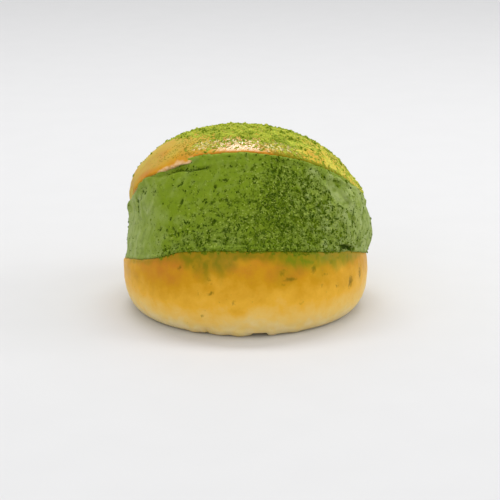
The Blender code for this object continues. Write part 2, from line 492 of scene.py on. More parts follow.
class Look:
    """A material, with the values that it is made of."""

    def __init__(self, name, roughness, specular):
        self.material = bpy.data.materials.new(name)
        self.material.use_nodes = True
        self.tree = self.material.node_tree
        self.shader = self.tree.nodes["Principled BSDF"]
        self.set("Roughness", roughness)
        self.set("Specular IOR Level", specular)

    def set(self, socket, value):
        """Gives the shader a value of the nodes, or a constant."""
        if isinstance(value, Value):
            self.tree.links.new(value.socket, self.shader.inputs[socket])
        else:
            self.shader.inputs[socket].default_value = value

    def place(self, stretch=(1, 1, 1)):
        """Object coordinates, in metres, stretched along the axes."""
        coordinates = add(self.tree, "ShaderNodeTexCoord", output="Object")
        return add(self.tree, "ShaderNodeMapping", {"Vector": coordinates, "Scale": stretch})

    def across(self):
        """Distance to the right of the middle, in metres."""
        return add(self.tree, "ShaderNodeSeparateXYZ", {0: self.place()}, "X")

    def stored(self, name):
        return add(self.tree, "ShaderNodeAttribute", output="Fac", attribute_name=name)

    def grain(self, size, detail, stretch=(1, 1, 1), distortion=0.0):
        """Cloudy noise with swellings of that size."""
        inputs = {"Scale": 1 / (size * MM), "Detail": detail, "Distortion": distortion}
        return add(self.tree, "ShaderNodeTexNoise", {"Vector": self.place(stretch), **inputs})

    def chance(self, size, seed=0.0):
        """A random number from 0 to 1 for each uneven grain of that size."""
        size = size * MM
        wander = {"Vector": self.place(), "Scale": 0.8 / size}
        wander = add(self.tree, "ShaderNodeTexNoise", wander, "Color")
        moved = {0: wander, 1: (size, size, size), 2: self.place()}
        moved = add(self.tree, "ShaderNodeVectorMath", moved, operation="MULTIPLY_ADD")
        shifted = add(self.tree, "ShaderNodeMapping", {"Vector": moved, "Location": (seed, seed, seed)})
        cells = add(self.tree, "ShaderNodeTexVoronoi", {"Vector": shifted, "Scale": 1 / size}, "Color")
        return add(self.tree, "ShaderNodeSeparateColor", {0: cells})

    def bump(self, height, distance, strength, under=None):
        """A normal tilted by a height, on top of another normal; the distance is in metres."""
        inputs = {"Height": height, "Distance": distance, "Strength": strength}
        if under is not None:
            inputs["Normal"] = under
        return add(self.tree, "ShaderNodeBump", inputs)


# -------------------- the bun

# Part of the bun's faces that is kept when the hidden ones are joined.
BUN_PART_KEPT = 0.76
# How far the cap's rim is lifted by the cream on the left, as a part of the most, by x.
LIFT_MOST = 2.0
LIFT_X = (-46, -41.4, -37.4, -32.8, -30, -27)
LIFT = np.array([1.9, 1.9, 0.9, 1.6, 0.9, 0]) / LIFT_MOST
# How far the flap beside it hangs down, as a part of the most, by x.
FLAP_X = (-26, -24, -20.2, -18.4, -17.5)
FLAP = (0, 0.6, 1.0, 1.0, 0)
# How far the left side is pressed in, as a part of the most, by height.
PRESSED_MOST = 1.9
PRESSED_HEIGHT = (17.5, 19.5, 24, 28, 31, 33.5, 36, 39, 42, 45, 48)
PRESSED = np.array([0, 0.45, 0.6, 1.1, 1.6, 1.9, 1.3, 0.7, 0.5, 0.3, 0]) / PRESSED_MOST


def press_sides(piece, place, rim_distance):
    """Shapes that bun and cream share: pressed in on the left, fuller on the right, a wavy joint."""
    on_left = fall(place.x, -26, 12) * fall(place.y, 32, 24)
    push(piece, PRESSED_MOST, np.interp(place.z, PRESSED_HEIGHT, PRESSED) * on_left, "X")
    push(piece, -0.6, bulge(place.z, 45.5, 6) * on_left, "X")
    push(piece, 0.9, rise(place.x, 28, 8) * bulge(place.z, 40.5, 6), "X")
    near_rim = fall(rim_distance, 3, 3)
    push(piece, 0.55, near_rim, "Z", cloud=(5, 1))
    raised = bulge(place.x, -31, 7) + 0.8 * bulge(place.x, 34, 9)
    push(piece, 0.6, raised * near_rim * (place.share < 0.4) * fall(place.y, 0, 8), "Z")


# Patches browned more or less than what is round them: x, y, z, radius and how much. The last one,
# lighter at the foot's front, is painted light against the shade near the floor.
BROWNED_PATCHES = (
    (-27, -33, 18, 15, 0.15), (-38, -19, 15, 10, 0.1), (-2.4, -43, 10.5, 4.5, 0.2), (8, -42, 24, 12, 0.05),
    (14, -40, 20.8, 3, 0.12), (18, -38, 22.5, 4, 0.12), (36, -24, 15, 5, 0.1), (-33, -8, 52, 12, 0.24),
    (24, -36, 11, 3, 0.08), (-10, -40, 20, 8, -0.1), (33, -27, 20, 6, -0.1), (12, -41, 15, 7, -0.12),
    (-41, -3, 42, 7, 0.25), (3, -37, 2, 12, -0.1),
)
# Middle of a blister on the cap's right.
BLISTER = (22.7, -11.6, 57.0)


def browning(place):
    """How brown the crust is: pale at the foot, golden and then amber towards the cut."""
    x, y, points = place.x, place.y, place.points
    levels = (0.0, 0.12, 0.30, 0.50, 0.72, 0.86, 0.80, 0.84)
    level = np.interp(place.shut_z, (0, 3, 7, 12, 18, 25, 34, 48), levels)
    level = level + 0.07 * mottle(points, 14, 1) + 0.05 * mottle(points, 5, 2)
    for *middle, size, amount in BROWNED_PATCHES:
        level = level + amount * hump(place.away(middle) / size)
    rim = between(place.over_cut, -2, 0.4, 1.4) * rise(x, -20, 4) * fall(y, 12, 20)
    rim = rim * (1 - 0.5 * rise(x, 13, 6)) * place.on_cap
    near_joint = fall(np.maximum(place.under_cut, 0), 4, 4) * (y < -20) * ~place.on_cap
    ring = bulge(place.away(BLISTER), 1.2, 0.6)
    return level + 0.24 * rim + 0.25 * ring + 0.08 * near_joint


# Marks baked into the front of the base: x, z, half width, half height, lean in degrees, depth of tone.
CRUST_MARKS = (
    (-21.9, 23.6, 0.35, 1.1, 40, 0.8), (-17.1, 24.4, 0.35, 0.8, 10, 0.6),
    (-12.1, 20.6, 0.35, 1.3, -35, 0.5), (-11.5, 16.3, 0.35, 0.9, 60, 0.9),
    (-15.5, 15.9, 0.35, 0.6, 45, 0.4), (-19.2, 27, 0.35, 1, 20, 0.5), (14.7, 20.6, 1.6, 0.6, 0, 0.9),
    (12.4, 23.2, 0.9, 1.4, 45, 0.45), (22.7, 22.8, 0.6, 1.1, 15, 0.9), (26.6, 20.2, 0.9, 0.4, 0, 0.4),
    (31.3, 24.2, 0.5, 0.5, 0, 0.7), (35.8, 14.9, 0.5, 1.6, 8, 0.9), (39.3, 16, 0.35, 2.4, -4, 0.6),
    (25.6, 17, 0.35, 0.6, 0, 0.4), (30.9, 15.5, 0.4, 0.6, 0, 0.5), (23.8, 26.6, 0.35, 1, 10, 0.8),
    (34.7, 23.3, 0.35, 1.4, 0, 0.6), (28.7, 23.7, 0.35, 0.8, -30, 0.7), (12.5, 19, 0.4, 0.5, 0, 0.4),
    (-14.6, 7.9, 0.4, 0.4, 0, 0.6), (-3.9, 13.4, 0.4, 1.1, 0, 0.3), (18.8, 12, 0.6, 0.4, 0, 0.5),
)


def crust_marks(place):
    """Where the crust has small dark marks."""
    level = np.zeros(len(place.x))
    for x, z, half_width, half_height, lean, tone in CRUST_MARKS:
        spot = mark(place.x - x, place.z - z, 1.2 * half_width + 0.12, 1.15 * half_height, lean)
        level = most(level, spot * tone)
    return level * fall(place.y, -8, 8)


# Spots near the cap's rim that the powder left nearly bare: x, height over the cut, radius, how bare.
BARE_SPOTS = (
    (22.5, 4.4, 5.2, 0.9), (28.5, 3.5, 4.5, 0.75), (34.4, 2.8, 3.4, 0.6), (38.2, 2.4, 2.8, 0.5),
    (-16, 6, 6, 0.5), (-2.5, 2.6, 6.5, 0.6),
)


def cap_powder(place, upright):
    """How thickly powder lies on the cap: bare on its left shoulder, thin above the front rim."""
    x, y, over_cut = place.x, place.y, place.over_cut
    ragged = mottle(place.points, 9, 6) * 1.5
    border_x = (-44, -40.4, -38.6, -35.3, -30, -26.5, -20.8, -15.6, -12.1, -10.3, -8)
    border_y = (-7.5, -7.5, -6.5, -3.0, -1.0, -2.5, -12.0, -15.0, -20.0, -24.0, -66)
    behind = rise(y + ragged, np.interp(x, border_x, border_y), 12)
    over_x = (-14, -8, 10, 18, 26, 40)
    start = np.interp(x, over_x, (2.0, 1.0, 0.8, -0.4, -1.8, -2.2))
    over_rim = rise(over_cut + ragged * 0.3, start, np.interp(x, over_x, (10, 10, 10, 7, 3.5, 2.5)))
    from_above = most(rise(upright, -0.05, 0.55), fall(y, -6, 8) * rise(x, -20, 8))
    thin = np.ones(len(x))
    for middle, height, radius, bare in BARE_SPOTS:
        away = np.hypot(x - middle, over_cut - height) / radius
        thin = np.minimum(thin, 1 - bare * smooth(1.6 * hump(away)) * (y < 15))
    dust_x = (-22, -16, -10, -7, 3, 7, 18, 30, 42)
    dust = np.interp(x, dust_x, (0.06, 0.24, 0.36, 0.20, 0.15, 0.38, 0.45, 0.42, 0.38))
    dust = most(dust, 0.32 * rise(over_cut, 4, 2) * (x > -16)) * rise(over_cut, 0.5, 1.5) * (x > -22)
    stray = most(0.07 * rise(over_cut, 2, 3) * rise(x, -34, 6), dust)
    far_left = 0.2 + 0.8 * rise(x, -34, 9)
    sparse = 1 - 0.42 * rise(x, 16, 7) * fall(over_cut, 20, 8)
    return most(behind * over_rim * thin * far_left * sparse, stray) * from_above * place.on_cap


def cap_dust_and_glow(place, powder, upright):
    """Dust too fine to see as grains yellows the crust, most on the cap's right, partly as painted light
    there.
    """
    x, y, over_cut = place.x, place.y, place.over_cut
    # Painted light: the cap's right is made paler and yellower, as if lit from behind.
    right = rise(x, 1 + 8 * fall(over_cut, 3.5, 2.5), 11) * rise(over_cut, 0.3, 1.6)
    left = fall(x, -7, 6) * rise(over_cut, 1.2, 4)
    behind = fall(x, -20, 6) * rise(y, -12, 10)
    glossy = between(x, -14, 14, 4) * fall(over_cut, 12, 4)
    under = powder * (0.7 - 0.35 * glossy * (y < 10))
    level = most(right, left * 0.62, behind * 0.75, under)
    golden = hump(np.hypot(x - 23.5, over_cut - 4) / 6.5) * (y < 0)
    cloudy = 0.8 + 0.6 * mottle(place.points, 4, 12)
    return level * cloudy * rise(upright, -0.45, 0.5) * place.on_cap * (1 - 0.55 * golden)


def cap_sand(place):
    """Fine moist specks on the cap's front, between the powder and the rim."""
    x, over_cut = place.x, place.over_cut
    amount_x = (-36, -28, -20, -8, 2, 10, 18, 26, 36)
    amount = np.interp(x, amount_x, (0.03, 0.14, 0.42, 0.50, 0.45, 0.70, 0.90, 0.80, 0.70))
    start = np.interp(x, amount_x, (3, 3, 1.5, 2.2, 2.2, -0.4, -1.2, -1.2, -1.2))
    level = rise(over_cut, start, 1.2) * fall(over_cut, np.interp(x, (14, 20), (12, 3.4)), 3)
    # Painted shade: the specks darken the rim on the right, where the rounded rim turns from the light.
    rim = 0.4 * between(over_cut, -0.5, 1.0, 1.2) * rise(x, 9, 4)
    return (amount * level + rim) * fall(place.y, 8, 8) * place.on_cap


def cap_glint_flecks(place):
    """Where pale flecks are painted on the cap's front: painted highlights, glints of light on the glossy
    crust between the powder.
    """
    x, over_cut = place.x, place.over_cut
    over_rim = rise(over_cut, 1.8 + 1.6 * between(x, -8, 4, 3), 1.5) * fall(over_cut, 10, 4)
    return between(x, -15, 15, 8) * over_rim * fall(place.y, 6, 8) * place.on_cap


def base_powder(place):
    """Powder that fell from the cream onto the base's front, thickest close under the cut."""
    reach_x = (-31, -26, -10, 6, 14, 17, 20, 24, 29, 32, 36, 40)
    reach = (0.3, 1.8, 2.2, 1.5, 1.5, 2.6, 2.4, 1.3, 2.0, 1.6, 1.0, 0.0)
    depth = np.interp(place.x, reach_x, reach) + mottle(place.points, 1.8, 7) * 0.9
    near = fall(np.maximum(place.under_cut, 0), depth, 1.6) * (place.under_cut > -1.0)
    return near * fall(place.y, -10, 6) * ~place.on_cap


def base_veil(place):
    """The finest dust on the base's front: a yellow green veil in a few soft patches."""
    x, z = place.x, place.z
    veil_x = (-43, -30, -24, -20, -16, -13, -10, -8, -5, -2, 2, 8, 16, 19, 23, 28, 31, 35, 40)
    reach = (1.5, 2.5, 4.0, 7.5, 11, 13.5, 10, 13, 9, 5.5, 4.5, 5.5, 9, 9.5, 8, 7, 8.5, 6, 2)
    depth = np.interp(x, veil_x, reach) + mottle(place.points, 3, 15) * 1.5
    level = smooth(1.5 * (depth - place.under_cut) / np.maximum(depth, 1.5))
    level = level * (1 - 0.45 * fall(x, -20, 6) - 0.20 * rise(x, 22, 7))
    stain = 0.30 * hump(np.hypot(x - 13, z - 23) / 7)
    stain = most(stain, 0.25 * hump(np.hypot(x - 25, z - 22.5) / 6))
    return most(level, stain) * fall(place.y, -10, 8) * ~place.on_cap


def rim_olive_and_shade(place):
    """The cap's rim on the right made darker olive: partly a tinge of powder, partly painted shade on the
    rim's rounded edge.
    """
    near = between(place.over_cut, -0.6, 1.0, 1.3) * rise(place.x, 7, 5)
    return 0.62 * near * fall(place.y, 6, 8) * place.on_cap


def bare_crumb(place, depth, skin):
    """Where crumb shows: on the cut faces, and along the torn flap of the rim."""
    crumb = rise(depth, skin, 0.5) * ((place.off_cut < 1.2) | ((place.share > 0) & (place.share < 1)))
    torn_height = 1.0 + 0.6 * rise(place.x, -26, 4) + 1.5 * mottle(place.points, 2.0, 14)
    torn = between(place.x, -29.5, -18.6, 1.2) * fall(place.over_cut, torn_height, 0.9)
    return most(crumb, torn * place.on_cap * (place.y < 0))


# Clumps of powder that stand on the top of the cap: x, y, radius and height.
CAP_CLUMPS = (
    (-27.8, 11, 0.9, 0.7), (-20, 12.5, 0.8, 0.4), (-4.9, 11, 1.1, 0.8), (-0.2, 10.5, 0.9, 0.9),
    (7.3, 10.5, 1.3, 0.9), (10.5, 12, 0.8, 0.4), (15.9, 10.5, 0.9, 0.8), (21.3, 10.5, 1, 0.8),
    (26, 12.5, 0.8, 0.4), (33, 9, 0.9, 0.5),
)


def shape_crust(sizes):
    bun = fine_copy("bun", "bun_crust", sizes.detail, BUN_PART_KEPT)
    place = Place(bun)
    x, y, over_cut = place.x, place.y, place.over_cut
    upright = read_vectors(bun.data.vertex_normals, "vector")[:, 2]
    depth = place.depth()
    crumb = bare_crumb(place, depth, sizes.skin / MM)
    crust = 1 - crumb
    marks = crust_marks(place)
    cap = cap_powder(place, upright) * crust
    cap_patches = 0.75 * patches_of(cap, spread_of(place.points, 1.1, 30)) + 0.25 * cap**2
    matt_rim = rise(over_cut, 0.6, 1.6) * (1 - 0.95 * fall(x, -5.5, 7))
    levels = {
        "browning": browning(place),
        "marks": marks,
        "crumb": crumb,
        "gloss": rise(place.shut_z, 27, 9) * crust * matt_rim,
        "cap_powder": cap_patches,
        "haze": cap_dust_and_glow(place, cap, upright) * crust,
        "sand": cap_sand(place) * crust,
        "base_powder": patches_of(0.75 * base_powder(place) * crust, spread_of(place.points, 1.3, 33)),
        # The veil is dust on the base and, on the cap's right rim, partly painted shade.
        "veil": (base_veil(place) + rim_olive_and_shade(place)) * crust,
        "flecks": cap_glint_flecks(place) * crust,
    }
    store(bun, levels)

    outside = crust * rise(place.z, 0.3, 2.0)
    push(bun, sizes.swell / MM, outside, cloud=(13,))
    push(bun, sizes.wrinkle / MM, outside, cloud=(1.8, 3))
    push(bun, sizes.powder_cake / MM, cap_patches, cloud=(1.0, 1, "BLENDER_ORIGINAL"))
    for clump_x, clump_y, radius, height in CAP_CLUMPS:
        away = np.hypot(x - clump_x, y - clump_y) / radius
        push(bun, height, smooth(1.5 * hump(away)) * (place.z > 40))
    push(bun, 0.35, hump(place.away(BLISTER) / 1.7))
    push(bun, -0.15, marks)

    near_skin = fall(depth, 4, 4) * place.on_cap * fall(y, 14, 14)
    push(bun, LIFT_MOST, np.interp(x, LIFT_X, LIFT) * fall(over_cut, 8, 8) * near_skin, "Z")
    flap = np.interp(x, FLAP_X, FLAP) * fall(over_cut, 5, 5) * near_skin
    push(bun, -1.3, flap, "Z")
    push(bun, -1.5, flap, "Y")
    push(bun, 1.1, rise(y, -6, 5) * fall(over_cut, 7, 7) * fall(x, -28, 5) * near_skin, "X")
    press_sides(bun, place, place.off_cut)
    shape_foot(bun, place)
    return bun


# Lumps of the dough at the front of the foot: x, half width and height.
FOOT_LUMPS = (
    (-8.5, 3.6, 0.35), (-2, 3.8, 0.55), (9, 2.6, 0.35), (-13, 1.2, -0.4), (-17.5, 2.5, 0.3), (17, 3, 0.25),
)
# A gap under the front edge: from and to along x, and its height.
FOOT_GAP = (2.4, 7.0, 0.8)
# How far above the floor a point ends that would sink below it.
FLOOR_GAP = 0.005


def shape_foot(bun, place):
    low = between(place.z, 0.4, 2.4, 1.2) * (place.y < -20)
    for x, half, height in FOOT_LUMPS:
        push(bun, height, low * bulge(place.x, x, half))
    start, end, height = FOOT_GAP
    push(bun, height, between(place.x, start, end, 0.7) * fall(place.z, 2.2, 2.2) * (place.y < -28), "Z")
    depth = -points_of(bun)[:, 2]
    push(bun, 1.0, np.where(depth > 0, np.clip(depth + FLOOR_GAP, 0, 1), 0), "Z")


def crust_look(sizes):
    look = Look("baked_crust", 0.42, 0.10)
    powder = bpy.context.scene.maritozzo_powder
    across = look.across()
    haze = look.stored("haze")
    sand = look.stored("sand")
    marks = look.stored("marks")
    crumb = look.stored("crumb")

    tone = look.stored("browning") + look.grain(4, 3).step(0.3, 0.7, -0.06, 0.06)
    tone = tone + look.grain(0.9, 3).step(0.3, 0.7, -0.015, 0.015)
    stops = ((0.0, sizes.foot), (0.28, sizes.pale), (0.52, sizes.gold), (0.78, sizes.amber))
    skin = tone.ramp((*stops, (1.0, sizes.brown)))
    # Paler crust at the foot: partly its own floury, lightly baked tone, partly painted light where the
    # foot is shaded near the floor.
    pale_foot_and_light = (tone + look.grain(6, 1).step(0.3, 0.7, -0.05, 0.05)).step(-0.05, 0.27, 0.68, 0.0)
    skin = pale_foot_and_light.shade(skin, (0.83, 0.68, 0.38))
    pores = look.grain(0.55, 3).step(0.60, 0.75)
    skin = (pores * 0.08).shade(skin, (0.45, 0.20, 0.02))
    uneven = look.grain(0.8, 2).step(0.3, 0.7, -0.25, 0.25)
    dark = (marks + uneven).step(0.0, 0.90) * marks.step(0.0, 0.12)
    skin = (dark * 0.85).shade(skin, (0.21, 0.135, 0.0))

    # Painted light: the dust's colour turns paler towards the right, where light from behind lights it.
    dust_glow_colour = across.step(-20 * MM, 8 * MM).shade((0.50, 0.48, 0.090), (0.62, 0.58, 0.080))
    skin = (haze * 0.85).shade(skin, dust_glow_colour)
    # Painted highlight: pale flecks of glinting light on the crust between the powder.
    flecks = (look.stored("flecks") - look.chance(0.60, 9.0)).step(0.47, 0.61)
    skin = (flecks * 0.72).shade(skin, (0.82, 0.72, 0.38))
    specks = sand - look.chance(0.40, 5.0) + look.grain(1.4, 2).step(0.3, 0.7, -0.30, 0.20)
    sandy = specks.step(-0.04, 0.10) * sand.step(0.0, 0.15)
    skin = (sandy * 0.72).shade(skin, (0.16, 0.145, 0.004))
    fine = look.chance(0.36)
    thick = fine * 0.5 + look.grain(0.9, 2, distortion=0.8).step(0.35, 0.65) * 0.5
    cover = (look.stored("cap_powder") * 1.15 - thick).step(-0.03, 0.05)
    tint = fine * 0.40 + look.grain(0.9, 3).step(0.3, 0.7, 0.0, 0.40)
    tint = tint + look.grain(3.2, 2).step(0.33, 0.67, -0.15, 0.45)
    skin = cover.shade(skin, tint.clamped().shade(powder.dry_dark, powder.dry_light))

    # The veil colour darkens the base's dust and, on the cap's right rim, is partly painted shade.
    veil = look.stored("veil") * look.grain(2.4, 2, (1, 1, 0.6), 0.5).step(0.3, 0.65, 0.60, 1.0)
    stain = across.step(6 * MM, 16 * MM).shade((0.232, 0.188, 0.0), (0.170, 0.215, 0.0))
    skin = veil.shade(skin, stain)
    on_base = (look.stored("base_powder") * 0.85 - thick).step(-0.03, 0.05)
    skin = (on_base * 0.75).shade(skin, (0.10, 0.14, 0.001))
    inside = look.grain(0.8, 3).step(0.3, 0.7).shade(sizes.crumb, (0.78, 0.54, 0.30))
    look.set("Base Color", crumb.shade(skin, inside))

    dull = cover | on_base | crumb | sandy * 0.8 | haze * 0.8
    look.set("Roughness", look.grain(2.5, 2).step(0.3, 0.7, 0.34, 0.44) + dull * 0.45)
    skin_bump = look.bump(look.grain(0.45, 4), 0.00006, 0.35)
    look.set("Normal", look.bump((1.5 - thick) * cover, 0.00030, 0.8, skin_bump))
    bare = ((1.0 - dull).clamped() - haze).clamped()
    glints = look.chance(0.5, 3.0).step(0.05, 0.55, 0.30, 1.0)
    broken = look.grain(1.0, 2).step(0.42, 0.58, 0.9, 0.0) * across.step(3 * MM, 7 * MM)
    look.set("Coat Weight", look.stored("gloss") * glints * (1.0 - broken) * bare)
    look.set("Coat Roughness", 0.20)
    look.set("Coat IOR", 2.0)
    look.set("Subsurface Weight", 0.12)
    look.set("Subsurface Radius", (1.0, 0.45, 0.15))
    look.set("Subsurface Scale", 0.0012)
    return look


class MakeCrust(bpy.types.Operator):
    """Make the baked bun, base and cap"""

    bl_idname = "maritozzo.make_crust"
    bl_label = "Bun"

    def execute(self, context):
        sizes = context.scene.maritozzo_crust
        finish_piece(shape_crust(sizes), crust_look(sizes), ("bun",))
        return {"FINISHED"}


# -------------------- the cream

# Part of the cream's faces that is kept when the hidden ones are joined.
CREAM_PART_KEPT = 0.66
# The crease that the spatula left under the cap's edge: x, and share of the gap.
CREASE_X = (-34, -31, -25.6, -18.7, -12.6, -10)
CREASE_SHARE = (1.0, 0.98, 0.93, 0.865, 0.87, 0.88)
# Middle of a small blob that stands out on the left side, how wide it is each way, and its radius.
BLOB = (-41.5, 0.6, 33.4)
BLOB_STRETCH = (1.5, 1.9, 1.9)
BLOB_RADIUS = 2.8

# Pits and dark flecks in the cream's front, darkened partly as painted shade in the pits: x, share of
# the gap, half width, half height, lean in degrees, and depth.
CREAM_MARKS = (
    (-35.2, 0.875, 0.6, 0.6, 0, 1), (-34.6, 0.84, 0.5, 0.6, 0, 1), (-33.9, 0.885, 0.45, 0.45, 20, 0.8),
    (-35.3, 0.93, 0.4, 0.5, 0, 0.6), (-30.9, 0.8, 0.5, 0.4, 0, 0.7), (-31.2, 0.76, 0.5, 0.4, 0, 0.5),
    (-38, 0.82, 0.5, 0.8, 0, 1), (-38.3, 0.72, 0.4, 1.8, 10, 0.75), (-36.3, 0.84, 0.35, 0.9, 15, 0.6),
    (-21.4, 0.74, 0.5, 1.1, 10, 1), (-22.5, 0.725, 0.7, 0.4, 0, 1), (-21.4, 0.53, 0.5, 1.2, 20, 1),
    (-20.6, 0.64, 0.35, 1, -25, 0.6), (-21.3, 0.43, 0.3, 0.4, 0, 0.5), (-25.1, 0.57, 0.7, 0.5, 0, 0.3),
    (-29, 0.85, 0.7, 0.4, 0, 0.3), (-25.2, 0.39, 0.4, 0.6, 20, 0.8), (-19.8, 0.59, 0.3, 1.1, -20, 0.4),
    (-21, 0.65, 0.3, 0.9, -25, 0.5), (-17.4, 0.73, 0.4, 0.3, 0, 0.7), (-15.9, 0.63, 0.3, 0.3, 0, 0.6),
    (-10.1, 0.65, 0.4, 0.8, 0, 1), (-10.5, 0.61, 0.3, 0.7, 0, 0.6), (-9.1, 0.59, 0.5, 0.6, 0, 0.5),
    (-6.2, 0.51, 0.6, 0.9, 0, 1), (-5.8, 0.47, 0.5, 0.7, 0, 0.8), (-11.2, 0.47, 0.4, 0.4, 0, 0.8),
    (-15, 0.42, 0.4, 0.4, 0, 0.8), (-15.3, 0.38, 0.6, 0.3, 0, 0.6), (-14.1, 0.35, 0.3, 0.4, 0, 0.8),
    (-9.2, 0.36, 0.3, 0.9, -35, 0.9), (-10.5, 0.39, 0.7, 0.3, 0, 0.6), (-10.2, 0.3, 0.9, 0.6, 0, 0.8),
    (-17.2, 0.3, 0.3, 0.9, 20, 0.5), (-29.1, 0.34, 0.5, 0.8, 25, 1), (-29.9, 0.35, 0.3, 0.5, -35, 0.5),
    (-24.4, 0.28, 0.7, 0.3, -15, 0.6), (-22.5, 0.18, 0.4, 0.9, 0, 1), (-23.4, 0.23, 0.3, 0.8, 0, 0.6),
    (-21.1, 0.21, 0.3, 0.6, 0, 0.7), (-22.6, 0.08, 0.7, 0.3, 0, 0.9), (-25.5, 0.07, 0.5, 0.5, 30, 0.8),
    (-23.1, 0.05, 0.6, 0.4, 0, 0.7), (-25.5, 0.02, 0.6, 0.4, 0, 0.8), (-26.5, 0.23, 0.5, 0.4, 0, 0.3),
    (-15.9, 0.24, 0.5, 0.8, 50, 0.9), (-17.3, 0.2, 0.6, 0.3, 0, 0.8), (-14.7, 0.17, 0.3, 0.3, 0, 0.8),
    (-10.4, 0.29, 0.9, 0.4, 0, 0.9), (-11, 0.26, 0.3, 0.8, 15, 0.8), (-12, 0.18, 0.5, 0.4, 0, 0.8),
    (-9.5, 0.21, 0.4, 0.4, 0, 0.7), (-6.8, 0.19, 0.8, 1.1, 0, 0.9), (-7.8, 0.18, 0.7, 0.4, 0, 0.7),
    (-12.3, 0.1, 0.6, 0.8, -25, 0.7), (-9.9, 0.09, 0.8, 0.3, 20, 0.8), (-13.9, 0.02, 0.8, 0.4, 0, 0.9),
    (-18.3, 0.02, 0.4, 0.6, 0, 0.8), (-19.7, 0.02, 0.7, 0.4, 0, 0.8), (-16.1, 0.06, 0.4, 0.7, 0, 0.7),
    (36.2, 0.51, 0.3, 2.9, 0, 0.6), (37.1, 0.37, 0.3, 1.8, -20, 0.6), (40.3, 0.61, 0.3, 2.1, 0, 0.5),
    (38.3, 0.2, 0.3, 1.4, 0, 0.5),
)
SMALLEST_MARK = 0.35

# How much of the front is dusted, by x, at a few shares of the gap, and how much of the sides.
DUST_X = (-42, -34, -27, -20, -13, -6, 2, 9, 16, 23, 30, 36, 41)
DUST_LEVELS = {
    0.00: (0.01, 0.02, 0.30, 0.40, 0.42, 0.40, 0.45, 0.50, 0.55, 0.50, 0.46, 0.26, 0.06),
    0.12: (0.01, 0.015, 0.22, 0.32, 0.38, 0.38, 0.45, 0.55, 0.60, 0.54, 0.50, 0.32, 0.07),
    0.35: (0.01, 0.01, 0.06, 0.14, 0.22, 0.28, 0.42, 0.65, 0.65, 0.54, 0.48, 0.28, 0.08),
    0.60: (0.01, 0.015, 0.04, 0.07, 0.09, 0.15, 0.28, 0.68, 0.68, 0.50, 0.34, 0.17, 0.05),
    0.80: (0.015, 0.02, 0.035, 0.05, 0.06, 0.10, 0.20, 0.60, 0.58, 0.45, 0.27, 0.13, 0.04),
    0.95: (0.01, 0.015, 0.03, 0.04, 0.05, 0.07, 0.14, 0.40, 0.28, 0.10, 0.08, 0.07, 0.02),
}
SIDE_DUST = 0.035


def smear_of(place):
    """Where the spatula left a pale smear on the front's right."""
    up = (place.share - 0.71) * place.gap
    return smooth(1.9 * mark(place.x - 31.2, up, 1.9, 5.0, -37)) * (place.y < 6)


def cream_dust(place):
    """How much of the cream's surface moist powder covers: dense on its right, thin on its left."""
    shares = np.array(list(DUST_LEVELS))
    shifted = place.x + 5 * mottle(place.points, 5, 26) * rise(place.x, 14, 8)
    rows = np.array([np.interp(shifted, DUST_X, levels) for levels in DUST_LEVELS.values()])
    share = np.clip(place.share, shares[0], shares[-1])
    upper = np.clip(np.searchsorted(shares, share), 1, len(shares) - 1)
    part = (share - shares[upper - 1]) / (shares[upper] - shares[upper - 1])
    columns = np.arange(len(share))
    level = rows[upper - 1, columns] * (1 - part) + rows[upper, columns] * part
    front = fall(place.y, 6, 12)
    return (level * front + SIDE_DUST * (1 - front)) * (1 - 0.9 * smear_of(place))


def cream_marks(place):
    """Where the cream's front has pits and dark flecks, darkened partly as painted shade in the pits."""
    level = np.zeros(len(place.x))
    for x, share, *halves, lean, depth in CREAM_MARKS:
        half_width, half_height = np.maximum(halves, SMALLEST_MARK)
        up = (place.share - share) * place.gap
        level = most(level, mark(place.x - x, up, half_width, half_height, lean) * depth)
    return level * (place.y < 6)


